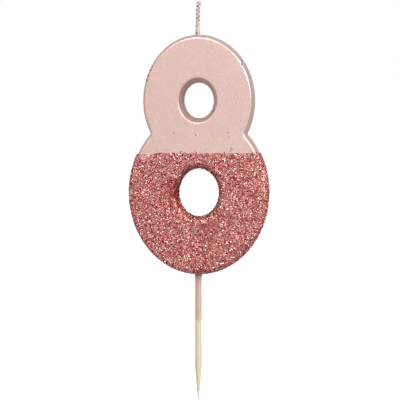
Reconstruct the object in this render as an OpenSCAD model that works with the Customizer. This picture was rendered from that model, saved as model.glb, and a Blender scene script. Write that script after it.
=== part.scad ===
// Number birthday candle: a figure eight cast in wax, its lower ring coated in
// glitter, with a plaited wick on top and a wooden pick underneath.
// +Z is up, the front faces -Y, and the origin is on the pick's axis at the
// foot of the glue collar, where the clean stretch of pick starts.

/* [Numeral] */
// Thickness of the cast wax, front to back
numeral_t = 9; // [6:0.5:14]
// Width of the upper ring at its back face
upper_w = 33.6; // [26:0.2:42]
// Height of the upper ring at its back face
upper_h = 39.4; // [32:0.2:48]
// Width of the lower ring at its back face
lower_w = 41.6; // [34:0.2:50]
// Height of the lower ring at its back face
lower_h = 48.6; // [42:0.2:60]
// Distance between the centres of the two rings
ring_spacing = 27.5; // [22:0.5:34]
// How far each outer side leans in from the back face to the front face
side_draft = 0.75; // [0.2:0.05:1.5]
// Radius of the rounded edges round the front face
edge_r = 0.6; // [0.3:0.05:1.2]

/* [Holes] */
// Width of the upper hole at the back face
upper_hole_w = 8.8; // [6:0.2:14]
// Height of the upper hole at the back face
upper_hole_h = 10.6; // [8:0.2:16]
// Width of the lower hole at the back face
lower_hole_w = 12.4; // [8:0.2:18]
// Height of the lower hole at the back face
lower_hole_h = 14.8; // [10:0.2:20]
// How far each hole's wall opens out from the back face to the front face
hole_draft = 1.2; // [0.2:0.05:2]

/* [Glitter coat] */
// Thickness of the glue and glitter
coat_t = 0.3; // [0.15:0.05:0.8]
// Height of the glittered part above the underside of the numeral
coat_h = 36.1; // [30:0.1:40]

/* [Pick] */
// Diameter of the wooden pick
pick_d = 2.05; // [1.6:0.05:4]
// Length of pick that shows below the numeral
pick_showing = 37.2; // [25:0.1:60]
// Length of the point at each end of the pick
point_l = 9.4; // [4:0.1:14]
// Diameter of the blunt tips of the points
tip_d = 0.5; // [0.3:0.1:1]

/* [Glue collar] */
// How far the glue runs down the pick, below the numeral
collar_drop = 0.45; // [0.2:0.05:1.5]
// Thickness of the glue round the pick, where it meets the numeral
collar_t = 0.5; // [0.2:0.05:1]

/* [Wick] */
// Diameter of the primed wick, where it enters the wax
wick_d = 1.4; // [1:0.05:2.5]
// Height of the wick above the numeral
wick_showing = 9.9; // [5:0.1:15]
// Height of the stiff, wax-filled stretch of wick above the numeral
wick_primed = 3.2; // [1:0.1:4.5]
// Length of wick inside the numeral
wick_buried = 5; // [3:0.5:9]
// Length along the wick in which a strand crosses over and comes back
plait_pitch = 3.6; // [3:0.1:6]
// Sideways offset of the wick from the middle of the numeral
wick_offset = -0.2; // [-1:0.1:1]
// How far the tip of the wick leans to the side
wick_lean = 0.35; // [-1.5:0.05:1.5]

/* [Fit] */
// Gap between the wax and what it is cast round
cast_gap = 0; // [0:0.01:0.1]
// Gap between the strands and the wax that fills them
strand_gap = 0.01; // [0.005:0.005:0.03]

/* [Hidden] */

$fn = 240;

// Heights of the centres of the rings, and of the top of the numeral
lower_z = collar_drop + coat_t + lower_h / 2;
upper_z = lower_z + ring_spacing;
top_z = upper_z + upper_h / 2;
coat_top_z = collar_drop + coat_h;

// The pick, from its lower tip to its buried one
pick_bottom_z = collar_drop - pick_showing;
pick_r = pick_d / 2;
tip_r = tip_d / 2;

// Thickness of the glue at the foot of the collar
collar_lip = 0.1;

// The wick: the foot of its hole, the top of its wax-filled stretch, its tip
wick_floor_z = top_z - wick_buried;
primed_top_z = top_z + wick_primed;
wick_top_z = top_z + wick_showing;

// A flat plait of three strands, packed as tightly as their thickness lets them
// lie, with a thin skin of wax outside them: how thick a strand is, and how far
// it swings to the sides and in depth.
STRANDS = 3;
prime_skin = 0.05;
strand_d = 0.3 * wick_d;
swing_x = (wick_d - strand_d) / 2 - prime_skin;
swing_y = 0.72 * strand_d;
strand_sides = 8;
rings_per_pitch = 14;

// What a cutter reaches past the face that it cuts
over = 1;
arc_steps = 5;

// Lean of the outer sides, and of the walls of the holes, in degrees
side_lean = atan(side_draft / numeral_t);
hole_lean = atan(hole_draft / numeral_t);

// Depth of the centre of the rounded front edge, measured from the back face
edge_z = numeral_t - edge_r;

// Half of a ring's section, as radius against depth from the back face: a
// drafted side, a rounded front edge, and grow of extra material all over.
function ring_section(r, grow) =
    let (
        c = r - (edge_r + edge_z * sin(side_lean)) / cos(side_lean),
        back = r + grow * (1 + sin(side_lean)) / cos(side_lean),
        step = (90 - side_lean) / arc_steps
    )
    concat(
        [[0, -grow], [back, -grow]],
        [for (i = [0 : arc_steps])
            let (a = side_lean + i * step)
            [c + (edge_r + grow) * cos(a), edge_z + (edge_r + grow) * sin(a)]],
        [[0, numeral_t + grow]]
    );

// The same for the space inside a hole, which reaches past both faces.
function hole_section(r, grow) =
    let (
        wall = r - grow / cos(hole_lean),
        c = r + (edge_r + edge_z * sin(hole_lean)) / cos(hole_lean),
        low = -grow - over,
        high = numeral_t + grow + over,
        step = (90 - hole_lean) / arc_steps
    )
    concat(
        [[0, low], [wall + low * tan(hole_lean), low]],
        [for (i = [0 : arc_steps])
            let (a = hole_lean + i * step)
            [c - (edge_r + grow) * cos(a), edge_z + (edge_r + grow) * sin(a)]],
        [[c, high], [0, high]]
    );

// Stands a section's solid upright, stretched to an ellipse of width w and
// height h about the height z, with depth 0 at the back face.
module stand(w, h, z) {
    translate([0, numeral_t / 2, z])
        rotate([90, 0, 0])
            scale([1, h / w, 1])
                rotate_extrude()
                    children();
}

// The whole figure, with grow of extra material on every face.
module figure(grow = 0) {
    difference() {
        union() {
            stand(upper_w, upper_h, upper_z)
                polygon(ring_section(upper_w / 2, grow));
            stand(lower_w, lower_h, lower_z)
                polygon(ring_section(lower_w / 2, grow));
        }
        stand(upper_hole_w, upper_hole_h, upper_z)
            polygon(hole_section(upper_hole_w / 2, grow));
        stand(lower_hole_w, lower_hole_h, lower_z)
            polygon(hole_section(lower_hole_w / 2, grow));
    }
}

// The pick, pointed at both ends, with gap of extra room round it. The upper
// point starts at the foot of the glue collar and is buried in the wax.
module pick_shape(gap = 0) {
    cylinder(h = point_l + gap, r1 = pick_r + gap, r2 = tip_r + gap);
    translate([0, 0, pick_bottom_z + point_l])
        cylinder(h = -pick_bottom_z - point_l, r = pick_r + gap);
    translate([0, 0, pick_bottom_z])
        cylinder(h = point_l, r1 = tip_r + gap, r2 = pick_r + gap);
}

// Where the middle of the wick is at height z: upright in the numeral and in
// its wax-filled stretch, and leaning more and more above.
function wick_x(z) =
    wick_offset + wick_lean * pow(max(0, (z - primed_top_z) / (wick_top_z - primed_top_z)), 2);

// Middle of a strand at height z. phase sets the three strands apart.
function strand_point(z, phase) =
    let (a = 360 * (z - wick_floor_z) / plait_pitch + phase)
    [wick_x(z) + swing_x * sin(a), swing_y * sin(2 * a), z];

// One ring of points round a strand, level, so that its ends are flat.
function strand_ring(z, phase, r) =
    let (p = strand_point(z, phase))
    [for (s = [0 : strand_sides - 1])
        let (a = 360 * s / strand_sides)
        p + [r * cos(a), r * sin(a), 0]];

// One strand of the plait, swept from the floor of the hole to the tip.
module strand(phase, gap = 0, top = wick_top_z) {
    rings = ceil((top - wick_floor_z) / plait_pitch * rings_per_pitch);
    points = [for (i = [0 : rings])
        each strand_ring(wick_floor_z + (top - wick_floor_z) * i / rings, phase, strand_d / 2 + gap)];
    sides = [for (i = [0 : rings - 1]) for (s = [0 : strand_sides - 1])
        let (a = i * strand_sides + s, b = i * strand_sides + (s + 1) % strand_sides)
        [a, a + strand_sides, b + strand_sides, b]];
    foot = [for (s = [0 : strand_sides - 1]) s];
    head = [for (s = [strand_sides - 1 : -1 : 0]) rings * strand_sides + s];
    polyhedron(points = points, faces = concat(sides, [foot, head]));
}

// The cast wax, with a socket for the pick and a hole for the wick.
module wax_numeral() {
    color([0.88, 0.75, 0.71])
        difference() {
            figure();
            pick_shape(cast_gap);
            translate([wick_offset, 0, wick_floor_z])
                cylinder(h = wick_buried + over, r = wick_d / 2 + cast_gap);
        }
}

// The skin of glue and glitter round the lower ring.
module glitter_coat() {
    color([0.74, 0.48, 0.46])
        difference() {
            intersection() {
                figure(coat_t);
                translate([-lower_w, -numeral_t, collar_drop - over])
                    cube([2 * lower_w, 2 * numeral_t, coat_top_z - collar_drop + over]);
            }
            figure();
            pick_shape(cast_gap);
        }
}

// The glue that ran down the pick, moulded to the underside of the coat.
module glue_collar() {
    color([0.62, 0.33, 0.30])
        difference() {
            cylinder(h = collar_drop + 2 * side_draft, r1 = pick_r + collar_lip, r2 = pick_r + collar_t);
            figure(coat_t);
            pick_shape();
        }
}

// The wooden pick.
module pick() {
    color([0.90, 0.82, 0.72])
        pick_shape();
}

// The wax that fills the plait, from the floor of its hole to the primed height.
module wick_wax() {
    color([0.86, 0.79, 0.72])
        difference() {
            translate([wick_offset, 0, wick_floor_z])
                cylinder(h = primed_top_z - wick_floor_z, r = wick_d / 2);
            for (i = [0 : STRANDS - 1])
                strand(360 * i / STRANDS, strand_gap, primed_top_z + over);
        }
}

// The strands of cotton.
module wick_strand(i) {
    color([0.80, 0.72, 0.67])
        strand(360 * i / STRANDS);
}

wax_numeral();
glitter_coat();
glue_collar();
pick();
wick_wax();
wick_strand(0);  // wick_strand_1
wick_strand(1);  // wick_strand_2
wick_strand(2);  // wick_strand_3
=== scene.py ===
"""Number birthday candle: a pearl-painted wax eight with a glittered lower ring, on a pick.

Metres, +Z up, front towards -Y, in the frame of the CAD model.
"""

import math

import bmesh
import bpy
import numpy as np
from mathutils import Matrix, Vector, noise


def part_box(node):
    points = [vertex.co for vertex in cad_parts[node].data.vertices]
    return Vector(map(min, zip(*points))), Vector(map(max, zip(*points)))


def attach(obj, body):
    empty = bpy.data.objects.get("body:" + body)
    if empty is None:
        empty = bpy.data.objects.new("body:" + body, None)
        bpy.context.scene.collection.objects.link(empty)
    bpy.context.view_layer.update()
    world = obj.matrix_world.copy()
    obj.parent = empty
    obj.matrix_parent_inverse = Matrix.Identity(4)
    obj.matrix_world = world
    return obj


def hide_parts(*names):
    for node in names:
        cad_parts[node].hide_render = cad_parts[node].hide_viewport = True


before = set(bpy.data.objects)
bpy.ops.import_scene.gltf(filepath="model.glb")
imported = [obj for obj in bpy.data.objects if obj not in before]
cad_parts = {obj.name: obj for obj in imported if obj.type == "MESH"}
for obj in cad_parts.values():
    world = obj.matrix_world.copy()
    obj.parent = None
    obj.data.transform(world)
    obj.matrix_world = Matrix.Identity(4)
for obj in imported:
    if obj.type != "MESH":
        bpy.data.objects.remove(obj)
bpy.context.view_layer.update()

MM = 0.001
# closer than this, two places are one
MERGE = 1e-7

# ---------------------------------------------------------------- sizes

WAX_LOW, WAX_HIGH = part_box("wax_numeral")
PICK_LOW, PICK_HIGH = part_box("pick")
PRIMED_LOW, PRIMED_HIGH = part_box("wick_wax")
WICK_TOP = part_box("wick_strand_1")[1].z - 0.25 * MM

THICKNESS = WAX_HIGH.y - WAX_LOW.y
WICK_X = (PRIMED_LOW.x + PRIMED_HIGH.x) / 2
BACK_Y = WAX_HIGH.y
COAT_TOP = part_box("glitter_coat")[1].z

# rings and holes at the back face: half width, half height, height of the centre
UPPER_HALF_H = 19.7 * MM
LOWER_HALF_H = 24.3 * MM
UPPER = (16.8 * MM, UPPER_HALF_H, WAX_HIGH.z - UPPER_HALF_H)
LOWER = (WAX_HIGH.x, LOWER_HALF_H, WAX_LOW.z + LOWER_HALF_H)
UPPER_HOLE = (4.4 * MM, 5.3 * MM, UPPER[2])
LOWER_HOLE = (6.2 * MM, 7.4 * MM, LOWER[2])
SIDE_DRAFT = 0.75 * MM
HOLE_DRAFT = 1.2 * MM
FRONT_EDGE = 0.6 * MM
BACK_EDGE = 0.2 * MM
LAND = 0.35 * MM
FACE_GRID = 1.5 * MM

# ---------------------------------------------------------------- camera

VIEW_AZIMUTH = math.radians(3)
VIEW_PITCH = math.radians(1)
VIEW_DISTANCE = 1.18
VIEW_CENTRE = Vector((0.48 * MM, 0, 22.8 * MM))
FRAME_WIDTH = 119.5 * MM
SENSOR = 36


def make_camera():
    data = bpy.data.cameras.new("camera")
    data.sensor_width = SENSOR
    data.lens = SENSOR * VIEW_DISTANCE / FRAME_WIDTH
    data.clip_start = 0.1
    data.clip_end = 20
    camera = bpy.data.objects.new("camera", data)
    back = Vector((
        math.sin(VIEW_AZIMUTH) * math.cos(VIEW_PITCH),
        -math.cos(VIEW_AZIMUTH) * math.cos(VIEW_PITCH),
        math.sin(VIEW_PITCH),
    ))
    camera.location = VIEW_CENTRE + back * VIEW_DISTANCE
    camera.rotation_euler = (-back).to_track_quat("-Z", "Y").to_euler()
    bpy.context.scene.collection.objects.link(camera)
    bpy.context.scene.camera = camera


# ---------------------------------------------------------------- materials

def new_material(name, **sockets):
    """A Principled material, its name and the shader's own sockets."""
    material = bpy.data.materials.new(name)
    material.use_nodes = True
    shader = material.node_tree.nodes["Principled BSDF"]
    for socket, value in sockets.items():
        shader.inputs[socket.replace("_", " ")].default_value = value
    return material, material.node_tree, shader


def node(tree, kind, inputs=(), **settings):
    """A node with its settings, and values or links for its inputs."""
    made = tree.nodes.new(kind)
    for key, value in settings.items():
        setattr(made, key, value)
    for key, value in dict(inputs).items():
        if isinstance(value, bpy.types.NodeSocket):
            tree.links.new(value, made.inputs[key])
        else:
            made.inputs[key].default_value = value
    return made


def place(tree, scale=(1, 1, 1)):
    """The piece's own coordinates in millimetres, stretched by scale."""
    coords = node(tree, "ShaderNodeTexCoord")
    size = [s / MM for s in scale]
    return node(tree, "ShaderNodeMapping", {"Vector": coords.outputs["Object"], "Scale": size}).outputs[0]


def noise_at(tree, vector, scale, detail=3, rough=0.5):
    made = node(tree, "ShaderNodeTexNoise",
                {"Vector": vector, "Scale": scale, "Detail": detail, "Roughness": rough})
    return made.outputs["Fac"]


def ramp(tree, factor, stops):
    """A colour ramp; stops is a list of (place, colour)."""
    made = node(tree, "ShaderNodeValToRGB", {"Fac": factor})
    elements = made.color_ramp.elements
    while len(elements) < len(stops):
        elements.new(0.5)
    for element, (where, colour) in zip(elements, stops):
        element.position = where
        element.color = (*colour, 1)
    return made.outputs["Color"]


def grey(value):
    return (value, value, value)


def mix(tree, factor, a, b, blend="MIX"):
    made = node(tree, "ShaderNodeMix", data_type="RGBA", blend_type=blend)
    for key, value in ((0, factor), (6, a), (7, b)):
        if isinstance(value, bpy.types.NodeSocket):
            tree.links.new(value, made.inputs[key])
        else:
            made.inputs[key].default_value = value if key == 0 else (*value, 1)
    return made.outputs[2]


def shade(tree, base, colour):
    """The base multiplied by a colour."""
    return mix(tree, 1.0, base, colour, "MULTIPLY")


def maths(tree, operation, a, b=0.0, clamp=False):
    made = node(tree, "ShaderNodeMath", operation=operation, use_clamp=clamp)
    for key, value in enumerate((a, b)):
        if isinstance(value, bpy.types.NodeSocket):
            tree.links.new(value, made.inputs[key])
        else:
            made.inputs[key].default_value = value
    return made.outputs[0]


def band(tree, value, low, high):
    """0 below low and 1 above high, straight between them."""
    made = node(tree, "ShaderNodeMapRange",
                {"Value": value, "From Min": low, "From Max": high, "To Min": 0.0, "To Max": 1.0})
    return made.outputs["Result"]


def axis(tree, vector, name):
    return node(tree, "ShaderNodeSeparateXYZ", {"Vector": vector}).outputs[name]


def far_from(tree, here, at, stretch=None):
    """How far here is from a point, with each axis multiplied by stretch where it is given."""
    off = node(tree, "ShaderNodeVectorMath", {0: here, 1: at}, operation="SUBTRACT").outputs[0]
    if stretch:
        off = node(tree, "ShaderNodeVectorMath", {0: off, 1: stretch}, operation="MULTIPLY").outputs[0]
    return node(tree, "ShaderNodeVectorMath", {0: off}, operation="LENGTH").outputs["Value"]


def bump(tree, shader, height, distance, strength=1.0):
    made = node(tree, "ShaderNodeBump",
                {"Height": height, "Distance": distance, "Strength": strength})
    tree.links.new(made.outputs[0], shader.inputs["Normal"])


# small flaws of the casting: pits in the front face, and nicks in its rounded edge (mm)
# pits: x, z, size
PITS = (
    (-7.1, 42.8, 0.11),
    (-0.6, 42.2, 0.11),
    (9.1, 42.9, 0.11),
    (-3.7, 46.0, 0.07),
    (9.4, 41.7, 0.07),
)
# the level lip round a pit, in pit sizes, and each ring inside it: how it shrinks, how far it sinks
PIT_LIP = 2.0
PIT_RINGS = ((1.1 / PIT_LIP, 0), (0.92, 0.45), (0.8, 0.35), (0.4, 0.10))
# nicks: x, z, reach, depth, how flat
NICKS = (
    (-13.8, 62.6, 0.50, 0.30, 0.7),
    (-14.2, 61.6, 0.55, 0.35, 0.8),
    (-14.8, 59.9, 0.35, 0.20, 1.6),
    (-15.2, 58.4, 0.30, 0.20, 1.5),
    (13.2, 63.3, 0.70, 0.20, 0.3),
)
# how deep the painted shade of a nick goes (mm), and how far it spreads past the dent
NICK_DEEP = 1.3
NICK_SPREAD = 1.7
# where a nick sits behind the front face, in front edges, and how much it is pushed backwards
NICK_PLACE = 0.3
NICK_PUSH_BACK = 0.8

PAINT_LEFT = (0.720, 0.500, 0.448)
PAINT_RIGHT = (0.752, 0.540, 0.500)
PAINT_SPECK = (0.55, 0.36, 0.30)
# painted shade in the nicks
NICK_SHADE = (0.20, 0.125, 0.10)
# painted shade in the pits
PIT_SHADE = (0.26, 0.16, 0.13)
# what the paint is multiplied by: inside the holes, a painted shade warmed like light bounced between their
# walls; behind the front edge, a painted shade over the walls and the back face
HOLE_SHADE = (0.90, 0.77, 0.71)
SHADE_BEHIND_EDGE = (0.77, 0.745, 0.735)


def pearl_paint():
    """Matte pearl paint on cast wax: cloudy, with fine grain and shallow ripples."""
    material, tree, shader = new_material(
        "pearl_paint", Metallic=0.45, Roughness=0.33, Specular_IOR_Level=0.4,
        Specular_Tint=(1, 0.80, 0.74, 1))
    here = place(tree)
    # lighter and pinker towards the right, partly a painted light falling from that side
    across = band(tree, axis(tree, here, "X"), -17, 17)
    base = mix(tree, across, PAINT_LEFT, PAINT_RIGHT)
    hue = ramp(tree, noise_at(tree, here, 0.30, 3, 0.6),
               [(0.32, (1.015, 0.972, 1.010)), (0.5, grey(1.0)), (0.68, (0.985, 1.020, 0.955))])
    base = shade(tree, base, hue)
    clouds = ramp(tree, noise_at(tree, here, 0.16, 2), [(0.3, grey(0.97)), (0.7, grey(1.02))])
    base = shade(tree, base, clouds)
    grain = ramp(tree, noise_at(tree, here, 2.6, 2, 0.6), [(0.3, grey(0.90)), (0.7, grey(1.08))])
    base = shade(tree, base, grain)
    specks = ramp(tree, noise_at(tree, here, 1.7, 1), [(0.70, grey(0)), (0.78, grey(1))])
    base = mix(tree, maths(tree, "MULTIPLY", specks, 0.35), base, PAINT_SPECK)
    depth = axis(tree, here, "Y")
    off_back = band(tree, depth, WAX_HIGH.y / MM - 0.05, WAX_HIGH.y / MM - 0.35)
    # painted shade inside each hole, away from the back face, warmed like light bounced between the walls
    reach = HOLE_DRAFT + FRONT_EDGE
    for half_w, half_h, height in (UPPER_HOLE, LOWER_HOLE):
        stretch = (MM / (half_w + reach), 0, MM / (half_h + reach))
        far = far_from(tree, here, (0, 0, height / MM), stretch)
        hole_shade_mask = maths(tree, "MULTIPLY", band(tree, far, 0.98, 0.90), off_back)
        base = mix(tree, hole_shade_mask, base, shade(tree, base, HOLE_SHADE))
    # painted shade: the walls and the back face, everything behind the front edge, darker than the front
    edge_start = (WAX_LOW.y + 0.3 * FRONT_EDGE) / MM
    edge_end = (WAX_LOW.y + 1.5 * FRONT_EDGE) / MM
    side = band(tree, depth, edge_start, edge_end)
    base = mix(tree, side, base, shade(tree, base, SHADE_BEHIND_EDGE))
    # painted shade: brown in and round each nick's dent
    for x, z, reach, _, flat in NICKS:
        reach *= NICK_SPREAD
        at = (x, (WAX_LOW.y + FRONT_EDGE / 2) / MM, z)
        far = far_from(tree, here, at, (1 / reach, 1 / NICK_DEEP, 1 / (reach * flat)))
        ragged = maths(tree, "ADD", far, maths(tree, "MULTIPLY", noise_at(tree, here, 3.5, 2), 0.8))
        base = mix(tree, band(tree, ragged, 1.05, 0.75), base, NICK_SHADE)
    # painted shade: a brown dot in each pit
    for x, z, size in PITS:
        far = far_from(tree, here, (x, WAX_LOW.y / MM, z), (1, 0.3, 1))
        base = mix(tree, band(tree, far, 2.4 * size, 1.2 * size), base, PIT_SHADE)
    tree.links.new(base, shader.inputs["Base Color"])
    ripples = maths(tree, "MULTIPLY", noise_at(tree, here, 0.22, 1), 3.0)
    height = maths(tree, "ADD", ripples, maths(tree, "MULTIPLY", noise_at(tree, here, 4.5, 2), 0.25))
    bump(tree, shader, height, 0.02 * MM, 0.7)
    return material


# glue between the flakes, from where it is deep to where it is shallow, and where paint shows through
GLUE_DEEP = (0.24, 0.036, 0.032)
GLUE_MIDDLE = (0.42, 0.105, 0.092)
GLUE_SHALLOW = (0.66, 0.36, 0.30)
PAINT_THROUGH = (0.72, 0.47, 0.40)


def flake_glue():
    """Clear glue over the paint: dark red between the flakes, and the paint itself where it is thin, which
    down the right edge of the lower ring is a painted highlight.
    """
    material, tree, shader = new_material("flake_glue", Roughness=0.38, Specular_IOR_Level=0.5)
    here = place(tree)
    depth = ramp(tree, noise_at(tree, here, 1.9, 3, 0.6),
                 [(0.34, GLUE_DEEP), (0.52, GLUE_MIDDLE), (0.70, GLUE_SHALLOW)])
    thin = node(tree, "ShaderNodeAttribute", attribute_name="thin").outputs["Fac"]
    ragged = maths(tree, "MULTIPLY", noise_at(tree, here, 1.6, 3, 0.6), 1.2)
    bare = band(tree, maths(tree, "ADD", thin, ragged), 1.0, 1.3)
    base = mix(tree, bare, depth, PAINT_THROUGH)
    tree.links.new(base, shader.inputs["Base Color"])
    bump(tree, shader, noise_at(tree, here, 2.2, 3, 0.6), 0.12 * MM)
    return material


# flakes, from dark to pale: name, colour, roughness, share of the flakes; the darkest tone is partly painted
# shade between the flakes, and the two palest partly painted glints
FLAKE_TONES = (
    ("flake_deep", (0.230, 0.022, 0.020), 0.42, 0.26),
    ("flake_rose", (0.550, 0.125, 0.118), 0.40, 0.22),
    ("flake_pink", (0.930, 0.350, 0.340), 0.38, 0.24),
    ("flake_pale", (1.000, 0.590, 0.555), 0.34, 0.21),
    ("flake_sand", (1.000, 0.720, 0.540), 0.38, 0.07),
)


def flake_materials():
    made = []
    for name, colour, rough, _ in FLAKE_TONES:
        material, _, _ = new_material(
            name, Base_Color=(*colour, 1), Metallic=0.85, Roughness=rough, Specular_Tint=(1, 0.55, 0.50, 1))
        made.append(material)
    return made


def collar_glue():
    """Clear red glue with a gloss, paler where it is thin."""
    material, tree, shader = new_material("collar_glue", Roughness=0.25, Coat_Weight=0.4, Coat_Roughness=0.12)
    here = place(tree)
    colour = ramp(tree, noise_at(tree, here, 2.2, 2),
                  [(0.35, (0.55, 0.120, 0.070)), (0.65, (0.85, 0.32, 0.20))])
    tree.links.new(colour, shader.inputs["Base Color"])
    bump(tree, shader, noise_at(tree, here, 3.0, 2), 0.05 * MM)
    return material


WOOD_DARK = (0.57, 0.455, 0.325)
WOOD = (0.64, 0.530, 0.400)
WOOD_PALE = (0.69, 0.590, 0.465)
PICK_PAINT = (0.60, 0.395, 0.335)
PICK_PAINT_PALE = (0.70, 0.480, 0.415)
PICK_PAINT_PEACH = (0.70, 0.46, 0.34)
PICK_SMUDGE = (0.42, 0.33, 0.20)


def stick_wood():
    """Bare wood with fine lengthwise grain; paint on the upper stretch, which fades out."""
    material, tree, shader = new_material("stick_wood", Specular_IOR_Level=0.35)
    here = place(tree)
    stretched = place(tree, (1, 1, 0.05))
    grain = noise_at(tree, stretched, 5.0, 3, 0.6)
    wood = ramp(tree, grain, [(0.25, WOOD_DARK), (0.5, WOOD), (0.75, WOOD_PALE)])
    fibres = ramp(tree, noise_at(tree, place(tree, (1, 1, 0.02)), 11.0, 2),
                  [(0.62, grey(1)), (0.72, grey(0.82))])
    wood = shade(tree, wood, fibres)
    height = axis(tree, here, "Z")
    pink = mix(tree, noise_at(tree, here, 0.9, 2), PICK_PAINT, PICK_PAINT_PALE)
    peach = band(tree, height, PAINT_FADE_HIGH / MM + 2.6, PAINT_FADE_HIGH / MM + 0.4)
    paint = mix(tree, peach, pink, PICK_PAINT_PEACH)
    wander = maths(tree, "MULTIPLY", noise_at(tree, stretched, 2.2, 3), 1.6)
    ragged = maths(tree, "ADD", height, wander)
    cover = band(tree, ragged, PAINT_FADE_LOW / MM + 0.8, PAINT_FADE_HIGH / MM + 0.8)
    smudge = ramp(tree, noise_at(tree, place(tree, (1, 1, 0.5)), 0.9, 2), [(0.50, grey(0)), (0.60, grey(1))])
    near_top = band(tree, height, -1.3, -0.3)
    paint = mix(tree, maths(tree, "MULTIPLY", smudge, near_top), paint, PICK_SMUDGE)
    base = mix(tree, cover, wood, paint)
    tree.links.new(base, shader.inputs["Base Color"])
    tree.links.new(maths(tree, "MULTIPLY", cover, 0.35), shader.inputs["Metallic"])
    tree.links.new(band(tree, cover, 2.2, -0.9), shader.inputs["Roughness"])
    bump(tree, shader, grain, 0.03 * MM)
    return material


PRIMING_DARK = (0.416, 0.340, 0.289)
PRIMING_PALE = (0.561, 0.483, 0.424)
PRIMING_FOOT = (0.46, 0.30, 0.26)
PRIMING_DARK_SPOT = (0.15, 0.09, 0.08)


def priming_wax():
    """Creamy wax, pink with paint at its foot, with a dark spot at the foot's left."""
    material, tree, shader = new_material("priming_wax", Roughness=0.42, Specular_IOR_Level=0.4)
    here = place(tree)
    colour = ramp(tree, noise_at(tree, here, 1.3, 2), [(0.35, PRIMING_DARK), (0.65, PRIMING_PALE)])
    foot = band(tree, axis(tree, here, "Z"), WAX_HIGH.z / MM + 0.55, WAX_HIGH.z / MM - 0.1)
    colour = mix(tree, foot, colour, PRIMING_FOOT)
    far = far_from(tree, here, (WICK_X / MM - 0.45, -0.5, WAX_HIGH.z / MM + 0.35))
    colour = mix(tree, band(tree, far, 0.55, 0.30), colour, PRIMING_DARK_SPOT)
    tree.links.new(colour, shader.inputs["Base Color"])
    bump(tree, shader, noise_at(tree, here, 2.4, 2), 0.05 * MM)
    return material


COTTON_DARK = (0.507, 0.387, 0.333)
COTTON_PALE = (0.724, 0.594, 0.522)
COTTON_GAP_SHADE = (0.26, 0.185, 0.15)


def waxed_cotton():
    """Waxed cotton: pale where the strands stand out, and darker towards the wick's middle as painted shade
    where they dip between each other.
    """
    material, tree, shader = new_material("waxed_cotton", Roughness=0.62, Sheen_Weight=0.3)
    here = place(tree)
    # painted shade: darker the nearer to the wick's middle
    out = far_from(tree, here, (WICK_X / MM, 0, 0), (0.55, 1, 0))
    depth = band(tree, out, 0.14, 0.40)
    colour = ramp(tree, noise_at(tree, here, 1.6, 2), [(0.3, COTTON_DARK), (0.7, COTTON_PALE)])
    colour = mix(tree, depth, COTTON_GAP_SHADE, colour)
    tree.links.new(colour, shader.inputs["Base Color"])
    bump(tree, shader, noise_at(tree, place(tree, (1, 1, 0.3)), 9.0, 2), 0.03 * MM)
    return material


# ---------------------------------------------------------------- the figure

OUTLINE_STEPS = 640
HOLE_STEPS = 200
FILLET_REACH = 1.1 * MM
FILLET_PASSES = 8
SIDE_STATIONS = 9
EDGE_STATIONS = 6
PIT_SEGMENTS = 12


def each_once(items):
    """The items without repeats, in their own order, which a set would not keep."""
    return list(dict.fromkeys(items))


def inside(point, ring):
    half_w, half_h, height = ring
    return (point.x / half_w) ** 2 + ((point.z - height) / half_h) ** 2 < 1


def notch():
    """Where the two rings' outlines cross, at +X: the root of the two ellipses' equations."""
    (w1, h1, z1), (w2, h2, z2) = UPPER, LOWER
    p, q = (w1 / h1) ** 2, (w2 / h2) ** 2
    a = p - q
    b = -2 * (p * z1 - q * z2)
    c = p * z1 ** 2 - q * z2 ** 2 - w1 ** 2 + w2 ** 2
    spread = math.sqrt(b * b - 4 * a * c)
    roots = ((-b - spread) / (2 * a), (-b + spread) / (2 * a))
    height = next(z for z in roots if z2 < z < z1)
    return w1 * math.sqrt(1 - ((height - z1) / h1) ** 2), height


NOTCH_X, NOTCH_Z = notch()


def ellipse(bm, ring, steps):
    half_w, half_h, height = ring
    upright = (Matrix.Translation((0, 0, height)) @ Matrix.Rotation(math.radians(90), 4, "X")
               @ Matrix.Diagonal((half_w, half_h, 1, 1)))
    return bmesh.ops.create_circle(bm, segments=steps, radius=1, matrix=upright)["verts"]


def figure_outline(bm):
    """The two rings' outlines joined into one, with a small fillet in each notch."""
    for ring, other in ((UPPER, LOWER), (LOWER, UPPER)):
        verts = ellipse(bm, ring, OUTLINE_STEPS)
        bmesh.ops.delete(bm, geom=[v for v in verts if inside(v.co, other)], context="VERTS")
    ends = [v for v in bm.verts if len(v.link_edges) == 1]
    for side in (-1, 1):
        corner = bm.verts.new((side * NOTCH_X, 0, NOTCH_Z))
        for end in ends:
            if end.co.x * side > 0:
                bm.edges.new((corner, end))
        near = [v for v in bm.verts if (v.co - corner.co).length < FILLET_REACH]
        for _ in range(FILLET_PASSES):
            bmesh.ops.smooth_vert(bm, verts=near, factor=0.5,
                                  use_axis_x=True, use_axis_y=True, use_axis_z=True)
    return list(bm.verts)


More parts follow.
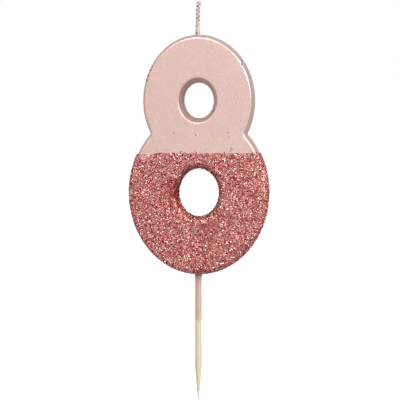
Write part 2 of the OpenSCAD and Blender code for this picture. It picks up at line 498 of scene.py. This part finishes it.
def wall_section(draft, grow, back):
    """A wall as (depth, offset) stations from the back land to the front land.

    Depth is from the wax's back face, and offset is outwards from the outline there.
    """
    lean = math.atan(draft / THICKNESS)
    centre_depth = THICKNESS - FRONT_EDGE
    centre_offset = -(FRONT_EDGE + centre_depth * math.sin(lean)) / math.cos(lean)
    rim = grow * (1 + math.sin(lean)) / math.cos(lean)
    stations = [(-grow, rim - back - LAND)]
    for i in range(EDGE_STATIONS - 1):
        turn = math.radians(90) * i / (EDGE_STATIONS - 2)
        stations.append((-grow + back - back * math.cos(turn), rim - back + back * math.sin(turn)))
    start = stations[-1][0]
    end = centre_depth + (FRONT_EDGE + grow) * math.sin(lean)
    for i in range(1, SIDE_STATIONS):
        depth = start + (end - start) * i / SIDE_STATIONS
        stations.append((depth, (grow - depth * math.sin(lean)) / math.cos(lean)))
    for i in range(EDGE_STATIONS):
        turn = lean + (math.radians(90) - lean) * i / (EDGE_STATIONS - 1)
        stations.append((centre_depth + (FRONT_EDGE + grow) * math.sin(turn),
                         centre_offset + (FRONT_EDGE + grow) * math.cos(turn)))
    stations.append((THICKNESS + grow, centre_offset - LAND))
    return stations


def sweep_wall(bm, verts, centre_of, outwards, stations):
    """Sweeps a closed loop of vertices through the stations. Returns its first and last edges."""
    out = bm.verts.layers.float_vector["out"]
    base = bm.verts.layers.float_vector["base"]
    for v in verts:
        before, after = (e.other_vert(v).co for e in v.link_edges)
        along = (after - before).normalized()
        normal = Vector((along.z, 0, -along.x))
        if normal.dot(v.co - centre_of(v.co)) * outwards < 0:
            normal.negate()
        v[out] = normal
        v[base] = v.co.copy()
    edges = each_once(e for v in verts for e in v.link_edges)
    first = edges
    depth, offset = stations[0]
    for v in verts:
        v.co = v[base] + v[out] * offset + Vector((0, BACK_Y - depth, 0))
    for depth, offset in stations[1:]:
        made = bmesh.ops.extrude_edge_only(bm, edges=edges)["geom"]
        edges = [g for g in made if isinstance(g, bmesh.types.BMEdge) and g.is_boundary]
        for v in (g for g in made if isinstance(g, bmesh.types.BMVert)):
            v.co = v[base] + v[out] * offset + Vector((0, BACK_Y - depth, 0))
    return first, edges


def figure(grow=0.0, back=BACK_EDGE, pits=(), grid=FACE_GRID):
    """The whole figure as a closed solid with both holes, grown outwards by grow."""
    bm = bmesh.new()
    bm.verts.layers.float_vector.new("out")
    bm.verts.layers.float_vector.new("base")
    fronts, backs = [], []

    def add(verts, centre_of, outwards, draft):
        first, last = sweep_wall(bm, verts, centre_of, outwards, wall_section(draft, grow, back))
        backs.extend(first)
        fronts.extend(last)

    add(figure_outline(bm), lambda p: Vector((0, 0, UPPER[2] if p.z > NOTCH_Z else LOWER[2])), 1, SIDE_DRAFT)
    for hole in (UPPER_HOLE, LOWER_HOLE):
        add(ellipse(bm, hole, HOLE_STEPS), lambda p, z=hole[2]: Vector((0, 0, z)), -1, HOLE_DRAFT)
    pit_edges = []
    for x, z, size in pits:
        upright = (Matrix.Translation((x, BACK_Y - THICKNESS - grow, z))
                   @ Matrix.Rotation(math.radians(90), 4, "X"))
        circle = bmesh.ops.create_circle(
            bm, segments=PIT_SEGMENTS, radius=size * PIT_LIP, matrix=upright)
        edges = each_once(e for v in circle["verts"] for e in v.link_edges)
        pit_edges.append((edges, Vector((x, 0, z)), size))
        fronts.extend(edges)
    for rim in (fronts, backs):
        made = bmesh.ops.triangle_fill(bm, use_beauty=True, edges=rim)["geom"]
        cut_squares(bm, [g for g in made if isinstance(g, bmesh.types.BMFace)], grid)
    for edges, centre, size in pit_edges:
        sink_pit(bm, edges, centre, size)
    bmesh.ops.recalc_face_normals(bm, faces=bm.faces)
    return bm


def cut_strips(bm, faces, direction, lines):
    """Cuts faces along planes at these distances, halving the lot each time. Returns the faces it made."""
    if not lines or not faces:
        return faces
    middle = len(lines) // 2
    geom = each_once(g for f in faces for g in (f, *f.edges, *f.verts))
    cut = bmesh.ops.bisect_plane(bm, geom=geom, dist=MERGE,
                                 plane_co=direction * lines[middle], plane_no=direction)
    made = [(g, g.calc_center_median().dot(direction) < lines[middle])
            for g in cut["geom"] if isinstance(g, bmesh.types.BMFace)]
    low = cut_strips(bm, [f for f, below in made if below], direction, lines[:middle])
    high = cut_strips(bm, [f for f, below in made if not below], direction, lines[middle + 1:])
    return low + high


def cut_squares(bm, faces, spacing):
    """Cuts flat upright faces along a square grid, so that they shade evenly."""
    across = (Vector((1, 0, 0)), -LOWER[0], LOWER[0])
    upwards = (Vector((0, 0, 1)), 0, WAX_HIGH.z)
    for direction, low, high in (across, upwards):
        lines = [low + i * spacing for i in range(1, int((high - low) / spacing))]
        faces = cut_strips(bm, faces, direction, lines)


def sink_pit(bm, edges, centre, size):
    """Draws a small round loop in the front face inwards to a level lip and then a rounded pit."""
    for shrink, deep in PIT_RINGS:
        made = bmesh.ops.extrude_edge_only(bm, edges=edges)["geom"]
        edges = [g for g in made if isinstance(g, bmesh.types.BMEdge) and g.is_boundary]
        for v in (g for g in made if isinstance(g, bmesh.types.BMVert)):
            v.co.x = centre.x + (v.co.x - centre.x) * shrink
            v.co.z = centre.z + (v.co.z - centre.z) * shrink
            v.co.y += size * deep
    bmesh.ops.contextual_create(bm, geom=edges)


def dent(bm, centre, reach, push):
    """Pushes what is within reach of a point, most in the middle."""
    for v in bm.verts:
        far = (v.co - centre).length / reach
        if far < 1:
            v.co += push * (1 - far * far) ** 2


# ---------------------------------------------------------------- making pieces

def finish_piece(name, bm, materials):
    mesh = bpy.data.meshes.new(name)
    bm.to_mesh(mesh)
    bm.free()
    return finish_mesh(name, mesh, materials)


def finish_mesh(name, mesh, materials, smooth=True):
    for material in materials:
        mesh.materials.append(material)
    mesh.polygons.foreach_set("use_smooth", [smooth] * len(mesh.polygons))
    piece = bpy.data.objects.new(name, mesh)
    bpy.context.scene.collection.objects.link(piece)
    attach(piece, "root")
    return piece


def vertex_places(mesh):
    """The places of a mesh's vertices, one row each."""
    places = np.empty(len(mesh.vertices) * 3)
    mesh.vertices.foreach_get("co", places)
    return places.reshape(-1, 3)


def turned(profile, steps, closed=False):
    """A profile of (radius, height) points, turned once round the upright axis."""
    bm = bmesh.new()
    verts = [bm.verts.new((radius, 0, height)) for radius, height in profile]
    edges = [bm.edges.new(pair) for pair in zip(verts, verts[1:])]
    if closed:
        edges.append(bm.edges.new((verts[-1], verts[0])))
    bmesh.ops.spin(bm, geom=verts + edges, cent=(0, 0, 0), axis=(0, 0, 1), angle=math.tau,
                   steps=steps, use_merge=True)
    bmesh.ops.remove_doubles(bm, verts=bm.verts, dist=MERGE)
    return bm


# how far the cast faces wander (mm), and over what distance
CAST_WANDER = 0.03
CAST_WANDER_SPAN = 7 * MM


def make_numeral():
    bm = figure(pits=[(x * MM, z * MM, size * MM) for x, z, size in PITS])
    front_y = BACK_Y - THICKNESS
    for x, z, reach, deep, _ in NICKS:
        point = Vector((x * MM, front_y + FRONT_EDGE * NICK_PLACE, z * MM))
        inwards = Vector((-point.x, 0, UPPER[2] - point.z)).normalized()
        inwards += Vector((0, NICK_PUSH_BACK, 0))
        dent(bm, point, reach * MM, inwards.normalized() * deep * MM)
    for v in bm.verts:
        v.co += Vector((1, 0, 1)) * noise.noise(v.co / CAST_WANDER_SPAN) * CAST_WANDER * MM
    piece = finish_piece("wax_body", bm, [pearl_paint()])
    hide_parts("wax_numeral")


GLUE_T = 0.16 * MM
GLUE_GRID = 1.0 * MM
# how far above the coat's edge a stray flake may lie
STRAY_REACH = 2.5 * MM

# the coat's top edge: its height over the CAD coat's, how ragged it is (mm), and its dip at the left
EDGE_RAISE = 0.22 * MM
EDGE_WIDE = 0.30
EDGE_FINE = 0.22
LEFT_DIP = 0.5 * MM
DIP_START = 12.3 * MM
DIP_LENGTH = 2.4 * MM
WIDE_SPAN = 2.2 * MM
FINE_SPAN = 0.8 * MM
# keeps the fine raggedness apart from the wide one
FINE_SHIFT = 9 * MM
# the glue gets thin over this distance below the edge, and as much above it, and by how much
EDGE_THIN = 0.8 * MM
EDGE_THINNING = 0.5
# the edges along the coat's rim that are longer than this are cut, so that it can be ragged
RIM_STEP = 0.5 * MM
RIM_CUTS = 3
# how much a thin spot takes off the glue and the flakes; down the right edge of the lower ring this makes a
# painted highlight
THINNING = 2.4


def coat_line(x, y):
    """Height of the coat's ragged top edge, which is lower at the left."""
    wide = noise.noise(Vector((x, y, 0)) / WIDE_SPAN)
    fine = noise.noise(Vector((x, y, FINE_SHIFT)) / FINE_SPAN)
    dip = min(max((-x - DIP_START) / DIP_LENGTH, 0), 1) * LEFT_DIP
    return COAT_TOP + EDGE_RAISE + (EDGE_WIDE * wide + EDGE_FINE * fine) * MM - dip


def cut_above(bm, height):
    bmesh.ops.bisect_plane(bm, geom=list(bm.verts) + list(bm.edges) + list(bm.faces), dist=MERGE,
                           plane_co=(0, 0, height), plane_no=(0, 0, 1), clear_outer=True)


def make_glue():
    """The glue under the flakes. Returns the surface that flakes may lie on, which reaches past the edge."""
    bm = figure(grow=GLUE_T, back=BACK_EDGE + GLUE_T, grid=GLUE_GRID)
    cut_above(bm, COAT_TOP + STRAY_REACH)
    field = bpy.data.meshes.new("flake_field")
    bm.to_mesh(field)
    cut_above(bm, COAT_TOP)
    rim = [e for e in bm.edges if e.is_boundary]
    bmesh.ops.subdivide_edges(bm, edges=[e for e in rim if e.calc_length() > RIM_STEP], cuts=RIM_CUTS)
    for v in each_once(v for e in bm.edges if e.is_boundary for v in e.verts):
        v.co.z = coat_line(v.co.x, v.co.y)
    mesh = bpy.data.meshes.new("glitter_glue")
    bm.to_mesh(mesh)
    bm.free()
    places = vertex_places(mesh)
    near_edge = np.clip((places[:, 2] - COAT_TOP + EDGE_THIN) / (2 * EDGE_THIN), 0, 1)
    # thinner glue on the spots, which down the right edge of the lower ring is a painted highlight
    thin = THINNING * near_spots(places, THIN_AND_HIGHLIT_SPOTS) + near_edge * EDGE_THINNING
    mesh.attributes.new("thin", "FLOAT", "POINT").data.foreach_set("value", thin)
    piece = finish_mesh("glitter_glue", mesh, [flake_glue()])
    skin = piece.modifiers.new("skin", "SOLIDIFY")
    skin.thickness = GLUE_T
    skin.offset = -1
    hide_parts("glitter_coat")
    return field


# ---------------------------------------------------------------- flakes

FLAKE_T = 0.02 * MM
# least and greatest radius of a flake
FLAKE_SIZE = (0.11 * MM, 0.21 * MM)
# how far flakes tilt on the faces and on the walls (degrees), and the most that one may
FLAKE_TILT = 20
WALL_TILT = 38
MOST_TILT = 60
FLAKE_LIFT = 0.16 * MM
FLAKES_PER_MM2 = 16.0
# most flakes in one piece
PIECE_FLAKES = 9500
# a surface faces the front or the back where its normal's y passes this
FACING = 0.7
# between the lower hole's wall and the outer rim, from the ring's centre
HOLE_LIMIT = 11 * MM
RANDOM = np.random.default_rng(8)


def flake_template():
    """One thin hexagonal flake of radius 1 across its corners, 1 thick."""
    bm = bmesh.new()
    bmesh.ops.create_circle(bm, cap_ends=True, segments=6, radius=1)
    top = bmesh.ops.extrude_face_region(bm, geom=list(bm.faces))["geom"]
    bmesh.ops.translate(bm, verts=[g for g in top if isinstance(g, bmesh.types.BMVert)], vec=(0, 0, 1))
    bmesh.ops.recalc_face_normals(bm, faces=bm.faces)
    mesh = bpy.data.meshes.new("flake")
    bm.to_mesh(mesh)
    bm.free()
    return mesh


def surface_triangles(mesh):
    """The corners of a mesh's triangles, in an order that only their places set.

    Some operators leave the faces in another order each run, and the flakes would move with it.
    """
    corners = vertex_places(mesh)
    rank = np.empty(len(corners), int)
    rank[np.lexsort(corners.T)] = np.arange(len(corners))
    triangles = []
    for face in mesh.polygons:
        ring = list(face.vertices)
        first = min(range(len(ring)), key=lambda i: rank[ring[i]])
        ring = ring[first:] + ring[:first]
        triangles.extend((ring[0], b, c) for b, c in zip(ring[1:], ring[2:]))
    triangles = np.array(triangles)
    triangles = triangles[np.lexsort(rank[triangles].T)]
    return (corners[i] for i in triangles.T)


def surface_points(mesh):
    """Points spread evenly over a mesh for the flakes, and the surface's normal at each."""
    a, b, c = surface_triangles(mesh)
    normal = np.cross(b - a, c - a)
    double_area = np.linalg.norm(normal, axis=1)
    count = int(double_area.sum() / 2 / MM ** 2 * FLAKES_PER_MM2)
    chosen = RANDOM.choice(len(a), count, p=double_area / double_area.sum())
    u = np.sqrt(RANDOM.random(count))
    v = RANDOM.random(count)
    points = (a[chosen] * (1 - u)[:, None] + b[chosen] * (u * (1 - v))[:, None]
              + c[chosen] * (u * v)[:, None])
    return points, normal[chosen] / double_area[chosen][:, None]


def unit(vectors):
    return vectors / np.linalg.norm(vectors, axis=1)[:, None]


def scatter(name, template, points, normals, sizes, tones, materials):
    """One piece of many flakes: each is the template, tilted, turned and moved."""
    count = len(points)
    corners = vertex_places(template)
    sides = unit(np.cross(normals, RANDOM.normal(size=(count, 3))))
    thirds = np.cross(normals, sides)
    flat = corners[None, :, :2] * sizes[:, None, None]
    placed = (points[:, None, :] + flat[:, :, :1] * sides[:, None, :] + flat[:, :, 1:] * thirds[:, None, :]
              + corners[None, :, 2:] * FLAKE_T * normals[:, None, :])
    loops = np.empty(len(template.loops), int)
    template.loops.foreach_get("vertex_index", loops)
    starts = np.array([p.loop_start for p in template.polygons])
    mesh = bpy.data.meshes.new(name)
    mesh.vertices.add(count * len(corners))
    mesh.vertices.foreach_set("co", placed.ravel())
    mesh.loops.add(count * len(loops))
    shift = np.arange(count)[:, None]
    mesh.loops.foreach_set("vertex_index", (loops[None] + shift * len(corners)).ravel())
    mesh.polygons.add(count * len(starts))
    mesh.polygons.foreach_set("loop_start", (starts[None] + shift * len(loops)).ravel())
    mesh.polygons.foreach_set("material_index", np.repeat(tones, len(starts)))
    mesh.update(calc_edges=True)
    return finish_mesh(name, mesh, materials, smooth=False)


def tilted(normals, degrees):
    """The normals, each leaned a random way by a random angle."""
    angle = np.clip(np.abs(RANDOM.normal(0, degrees, len(normals))), 0, MOST_TILT)
    lean = np.tan(np.radians(angle))
    across = unit(np.cross(normals, RANDOM.normal(size=(len(normals), 3))))
    return unit(normals + across * lean[:, None])


# places where the flakes are redder, or thinner and paler (mm): x, z, reach, how much; the thinner, paler
# spots down the right edge of the lower ring are a painted highlight
RED_CLUMPS = (
    (-7.7, 27.6, 1.5, 0.40),
    (-7.7, 24.2, 1.5, 0.40),
    (-7.0, 21.2, 1.1, 0.40),
    (2.0, 14.5, 3.0, 0.10),
    (12.2, 27.6, 1.2, 0.20),
)
THIN_AND_HIGHLIT_SPOTS = (
    (-16.2, 35.8, 1.4, 0.20),
    (-14.2, 35.8, 1.1, 0.16),
    (8.0, 21.5, 2.6, 0.06),
    # down the right edge of the lower ring: a paler, thinner coat as a painted highlight
    (16.9, 33.9, 1.0, 0.18),
    (17.9, 32.2, 0.9, 0.13),
    (18.5, 30.3, 0.9, 0.16),
    (19.0, 28.2, 0.9, 0.16),
    (19.3, 25.9, 0.8, 0.15),
    (19.3, 23.6, 0.8, 0.11),
)
# a cluster of stray flakes above the coat's edge
STRAY_CLUSTER = ((10.0, 37.9, 0.5, 0.3),)


def near_spots(points, spots):
    """How much each point lies in the listed places, from 0 to 1 times how much."""
    total = np.zeros(len(points))
    for x, z, reach, amount in spots:
        far = np.hypot(points[:, 0] - x * MM, points[:, 2] - z * MM) / (reach * MM)
        total += amount * np.clip(1.5 - far, 0, 1)
    return total


# redder and paler patches: their spans, the share of the wide ones, and how much all of them tell
PATCH_SPAN = 2.4 * MM
WIDE_PATCH_SPAN = 6 * MM
WIDE_PATCH = 0.7
PATCHINESS = 0.08
# flakes above this depth below the coat's edge are redder, by this much
RED_EDGE_DEPTH = 0.1 * MM
RED_EDGE = 0.55


def tones_at(points, below):
    """A tone for each flake: random, but redder above the coat's edge, and with redder and paler patches."""
    patches = np.array([
        noise.noise(Vector(p) / PATCH_SPAN) + WIDE_PATCH * noise.noise(Vector(p) / WIDE_PATCH_SPAN)
        for p in points])
    value = RANDOM.random(len(points)) + PATCHINESS * patches
    # paler on the spots, and down the right edge of the lower ring that is a painted highlight
    value = value + near_spots(points, THIN_AND_HIGHLIT_SPOTS) - near_spots(points, RED_CLUMPS)
    value -= RED_EDGE * (below < RED_EDGE_DEPTH)
    edges = np.cumsum([tone[3] for tone in FLAKE_TONES])[:-1]
    return np.searchsorted(edges, value)


# walls lean their flakes forward: where that starts (before the middle plane), over what depth, how much
WALL_FACING = 0.98
LEAN_START = 1.5 * MM
LEAN_LENGTH = 3 * MM
LEAN_MOST = 0.9


def lean_forward(points, normals):
    """Turns the flakes on the walls towards the front, the more the nearer they are to it."""
    wall = np.abs(normals[:, 1]) < WALL_FACING
    near = np.clip((-points[:, 1] - LEAN_START) / LEAN_LENGTH, 0, 1) * wall
    return unit(normals + near[:, None] * np.array((0, -LEAN_MOST, 0)))


# shares of the points that get a flake: the least on a thin spot and on the painted highlight, at the coat's
# edge and how deep that reaches, and just above the edge and how far it takes to fall off
THINNEST = 0.3
EDGE_SHARE = 0.55
EDGE_DEPTH = 0.4 * MM
STRAY_SHARE = 0.05
STRAY_SPAN = 0.5 * MM


def kept_flakes(points, below):
    """Which points get a flake: nearly all in the coat, fewer on thin spots and on the painted highlight down
    the right edge, few above its edge.
    """
    thinned = np.clip(1.0 - THINNING * near_spots(points, THIN_AND_HIGHLIT_SPOTS), THINNEST, 1)
    strays = STRAY_SHARE * np.exp(np.minimum(below, 0) / STRAY_SPAN) + near_spots(points, STRAY_CLUSTER)
    in_coat = np.clip(below / EDGE_DEPTH + EDGE_SHARE, 0, 1) * thinned
    return RANDOM.random(len(points)) < np.where(below > 0, in_coat, strays)


def make_flakes(field):
    template = flake_template()
    materials = flake_materials()
    points, normals = surface_points(field)
    below = np.array([coat_line(x, y) for x, y, _ in points]) - points[:, 2]
    keep = kept_flakes(points, below)
    points, normals, below = points[keep], normals[keep], below[keep]
    points[below < 0] -= normals[below < 0] * GLUE_T
    wall = np.abs(normals[:, 1]) <= FACING
    radial = np.hypot(points[:, 0], points[:, 2] - LOWER[2])
    regions = (
        ("front", normals[:, 1] < -FACING, FLAKE_TILT),
        ("back", normals[:, 1] > FACING, FLAKE_TILT),
        ("hole", wall & (radial < HOLE_LIMIT), WALL_TILT),
        ("rim", wall & (radial >= HOLE_LIMIT), WALL_TILT),
    )
    for region, chosen, tilt in regions:
        where, out, under = points[chosen], normals[chosen], below[chosen]
        facing = lean_forward(where, out)
        lift = RANDOM.random(len(where)) * FLAKE_LIFT * (under > 0)
        parts = math.ceil(len(where) / PIECE_FLAKES)
        for part in range(parts):
            mine = slice(part, None, parts)
            tones = tones_at(where[mine], under[mine])
            raised = where[mine] + out[mine] * lift[mine][:, None]
            leaned = tilted(facing[mine], tilt)
            sizes = RANDOM.uniform(*FLAKE_SIZE, len(raised))
            piece = scatter(f"flakes_{region}_{part + 1}", template, raised, leaned, sizes, tones, materials)
            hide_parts("glitter_coat")


# ---------------------------------------------------------------- pick and collar

PICK_R = PICK_HIGH.x
POINT_L = PICK_HIGH.z
TIP_R = 0.25 * MM
PAINT_FADE_HIGH = -12.8 * MM
PAINT_FADE_LOW = -13.5 * MM
PICK_SEGMENTS = 48
POINT_RINGS = 12
STICK_RINGS = 29
# how far the stick is out of round, as a share of its radius
STICK_UNEVEN = 0.012

# the collar's outside, from its foot up: past the pick's radius, and height (mm)
COLLAR_RUN = ((0.03, 0.0), (0.09, 0.15), (0.11, 0.35), (0.14, 0.6))
COLLAR_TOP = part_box("glue_collar")[1].z + 0.25 * MM
COLLAR_UNEVEN = 0.05


def make_pick():
    """A turned stick with a blunt point at each end, very slightly out of round."""
    low, high = PICK_LOW.z, PICK_HIGH.z
    blunt = low + 0.1 * MM
    profile = [(0, low), (TIP_R * 0.7, low + 0.02 * MM), (TIP_R, blunt)]
    for i in range(1, POINT_RINGS + 1):
        profile.append((TIP_R + (PICK_R - TIP_R) * i / POINT_RINGS,
                        blunt + (POINT_L - 0.1 * MM) * i / POINT_RINGS))
    for i in range(1, STICK_RINGS + 1):
        profile.append((PICK_R, low + POINT_L + (0 - low - POINT_L) * i / STICK_RINGS))
    profile.append((TIP_R, high - 0.05 * MM))
    profile.append((0, high))
    bm = turned(profile, PICK_SEGMENTS)
    for v in bm.verts:
        around = math.atan2(v.co.y, v.co.x)
        grooves = noise.noise(Vector((math.cos(around) * 4, math.sin(around) * 4, v.co.z / (14 * MM))))
        v.co.x *= 1 + STICK_UNEVEN * grooves
        v.co.y *= 1 + STICK_UNEVEN * grooves
    bmesh.ops.recalc_face_normals(bm, faces=bm.faces)
    piece = finish_piece("wooden_pick", bm, [stick_wood()])
    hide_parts("pick")


def make_collar():
    """The run of glue round the pick, fuller towards the numeral."""
    profile = [(0.98 * PICK_R, -0.02 * MM)]
    profile.extend((PICK_R + out * MM, up * MM) for out, up in COLLAR_RUN)
    profile.extend([(PICK_R + 0.22 * MM, COLLAR_TOP), (0.7 * PICK_R, COLLAR_TOP)])
    bm = turned(profile, PICK_SEGMENTS, closed=True)
    for v in bm.verts:
        if v.co.xy.length > PICK_R:
            v.co.x *= 1 + COLLAR_UNEVEN * noise.noise(v.co / (0.6 * MM))
            v.co.y *= 1 + COLLAR_UNEVEN * noise.noise(v.co / (0.6 * MM))
    bmesh.ops.recalc_face_normals(bm, faces=bm.faces)
    piece = finish_piece("glue_bead", bm, [collar_glue()])
    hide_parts("glue_collar")


# ---------------------------------------------------------------- wick

WICK_D = PRIMED_HIGH.y - PRIMED_LOW.y
WICK_FLOOR = PRIMED_LOW.z
PLAIT_PITCH = 3.6 * MM
STRAND_D = 0.3 * WICK_D
SWING_X = (WICK_D - STRAND_D) / 2 - 0.05 * MM
SWING_Y = 0.72 * STRAND_D
WICK_LEAN = 0.35 * MM
PLIES = 3
PLY_R = 0.135 * MM
PLY_PITCH = 1.7 * MM
# how far a ply swings round its strand's middle, in ply radii
PLY_SWING = 0.85
# height over which a strand's direction is measured
SLOPE_STEP = 0.02 * MM
RINGS_PER_MM = 12
STRANDS = 3
TUBE_RESOLUTION = 3

# the priming wax: how far it rises past the CAD's, how deep its flare starts, and the flare at its foot
PRIMING_SEGMENTS = 32
PRIMING_RINGS = 20
PRIMING_RISE = 0.6 * MM
PRIMING_SUNK = 0.6 * MM
FLARE_MOST = 0.35
FLARE_START = 0.45 * MM
FLARE_SPAN = 0.28 * MM
PRIMING_TAPER = 0.30
PRIMING_LUMPS = 0.10


def strand_point(height, phase):
    turn = math.tau * (height - WICK_FLOOR) / PLAIT_PITCH + phase
    up = max(0.0, (height - PRIMED_HIGH.z) / (WICK_TOP - PRIMED_HIGH.z))
    across = WICK_X + WICK_LEAN * up * up + SWING_X * math.sin(turn)
    return Vector((across, SWING_Y * math.sin(2 * turn), height))


def tube(points, radius):
    """A round tube through the points, as a mesh."""
    data = bpy.data.curves.new("tube", "CURVE")
    data.dimensions = "3D"
    data.bevel_depth = radius
    data.bevel_resolution = TUBE_RESOLUTION
    data.use_fill_caps = True
    spline = data.splines.new("POLY")
    spline.points.add(len(points) - 1)
    for target, point in zip(spline.points, points):
        target.co = (*point, 1)
    holder = bpy.data.objects.new("tube", data)
    mesh = bpy.data.meshes.new_from_object(holder)
    bpy.data.objects.remove(holder)
    bpy.data.curves.remove(data)
    return mesh


def make_strand(index, material):
    phase = math.tau * index / STRANDS
    count = int((WICK_TOP - WICK_FLOOR) / MM * RINGS_PER_MM)
    bm = bmesh.new()
    for ply in range(PLIES):
        points = []
        for i in range(count + 1):
            height = WICK_FLOOR + (WICK_TOP - WICK_FLOOR) * i / count
            middle = strand_point(height, phase)
            along = (strand_point(height + SLOPE_STEP, phase) - middle).normalized()
            side = along.cross(Vector((0, 1, 0))).normalized()
            other = along.cross(side)
            turn = math.tau * (height / PLY_PITCH + ply / PLIES)
            points.append(middle + (side * math.cos(turn) + other * math.sin(turn)) * PLY_R * PLY_SWING)
        mesh = tube(points, PLY_R)
        bm.from_mesh(mesh)
        bpy.data.meshes.remove(mesh)
    bmesh.ops.recalc_face_normals(bm, faces=bm.faces)
    piece = finish_piece(f"wick_yarn_{index + 1}", bm, [material])
    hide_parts(f"wick_strand_{index + 1}")


def make_priming():
    """The wax that soaked the foot of the wick: a lumpy sleeve that thins upwards."""
    top = PRIMED_HIGH.z + PRIMING_RISE
    surface = WAX_HIGH.z - PRIMING_SUNK
    profile = [(0, WICK_FLOOR), (WICK_D / 2, WICK_FLOOR + 0.05 * MM), (WICK_D / 2, surface)]
    for i in range(1, PRIMING_RINGS + 1):
        up = i / PRIMING_RINGS
        height = surface + (top - surface) * up
        flare = FLARE_MOST * math.exp(-(height - WAX_HIGH.z + FLARE_START) / FLARE_SPAN)
        ripple = 0.98 + 0.02 * math.sin(up * 9)
        radius = WICK_D / 2 * (ripple - PRIMING_TAPER * up ** 1.6 + min(flare, FLARE_MOST))
        profile.append((radius, height))
    profile.append((0, top + 0.1 * MM))
    bm = turned(profile, PRIMING_SEGMENTS)
    for v in bm.verts:
        lump = noise.noise(v.co / (0.9 * MM)) * PRIMING_LUMPS
        v.co.x = WICK_X + v.co.x * (1 + lump)
        v.co.y *= 1 + lump
    bmesh.ops.recalc_face_normals(bm, faces=bm.faces)
    piece = finish_piece("priming_sleeve", bm, [priming_wax()])
    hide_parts("wick_wax")


# ---------------------------------------------------------------- light and floor

AMBIENT = 0.45
BACKDROP = 0.10


def make_world():
    """White to the camera; to everything else an even, soft light, a little stronger from behind."""
    world = bpy.data.worlds.new("studio")
    world.use_nodes = True
    bpy.context.scene.world = world
    tree = world.node_tree
    tree.nodes.clear()
    depth = axis(tree, node(tree, "ShaderNodeTexCoord").outputs["Generated"], "Y")
    back = maths(tree, "MULTIPLY", maths(tree, "POWER", maths(tree, "MAXIMUM", depth, 0.0), 3.0), BACKDROP)
    total = maths(tree, "ADD", back, AMBIENT)
    soft = node(tree, "ShaderNodeBackground", {"Color": (1, 1, 1, 1), "Strength": total})
    white = node(tree, "ShaderNodeBackground", {"Color": (1, 1, 1, 1), "Strength": 1.0})
    seen = node(tree, "ShaderNodeLightPath").outputs["Is Camera Ray"]
    both = node(tree, "ShaderNodeMixShader", {0: seen, 1: soft.outputs[0], 2: white.outputs[0]})
    node(tree, "ShaderNodeOutputWorld", {"Surface": both.outputs[0]})


LAMPS_AIM = Vector((0, 0, 0.03))


def make_lamp(name, azimuth, elevation, distance, size, power, shine=True):
    """A square softbox that faces the candle. One without shine makes no highlights."""
    data = bpy.data.lights.new(name, "AREA")
    data.shape = "RECTANGLE"
    data.size = size
    data.size_y = size
    data.energy = power
    lamp = bpy.data.objects.new(name, data)
    a = math.radians(azimuth)
    e = math.radians(elevation)
    back = Vector((math.sin(a) * math.cos(e), -math.cos(a) * math.cos(e), math.sin(e)))
    lamp.location = LAMPS_AIM + back * distance
    lamp.rotation_euler = (-back).to_track_quat("-Z", "Y").to_euler()
    lamp.visible_glossy = shine
    lamp.visible_camera = False
    bpy.context.scene.collection.objects.link(lamp)


FLOOR_REACH = 4


def make_floor():
    bm = bmesh.new()
    bmesh.ops.create_grid(bm, x_segments=1, y_segments=1, size=FLOOR_REACH,
                          matrix=Matrix.Translation((0, 0, PICK_LOW.z)))
    mesh = bpy.data.meshes.new("floor")
    bm.to_mesh(mesh)
    bm.free()
    material, _, _ = new_material(
        "pale_floor", Base_Color=(0.9, 0.9, 0.9, 1), Roughness=0.9,
        Emission_Color=(1, 1, 1, 1), Emission_Strength=0.75)
    mesh.materials.append(material)
    floor = bpy.data.objects.new("floor", mesh)
    bpy.context.scene.collection.objects.link(floor)
    floor.visible_diffuse = False
    floor.visible_glossy = False
    floor.visible_transmission = False
    floor.visible_shadow = False


# ---------------------------------------------------------------- the scene

make_camera()
make_world()
make_lamp("key", 60, 24, 0.85, 0.4, 5.1)
make_lamp("front_fill", 0, 36, 0.85, 0.4, 3.2)
make_lamp("left_fill", -25, 20, 0.85, 0.4, 2.0, shine=False)
make_lamp("back_fill", 180, 28, 0.9, 0.9, 5.2, shine=False)
make_floor()
make_numeral()
make_flakes(make_glue())
make_pick()
make_collar()
COTTON = waxed_cotton()
for strand in range(STRANDS):
    make_strand(strand, COTTON)
make_priming()

bpy.context.scene.view_settings.view_transform = "Standard"
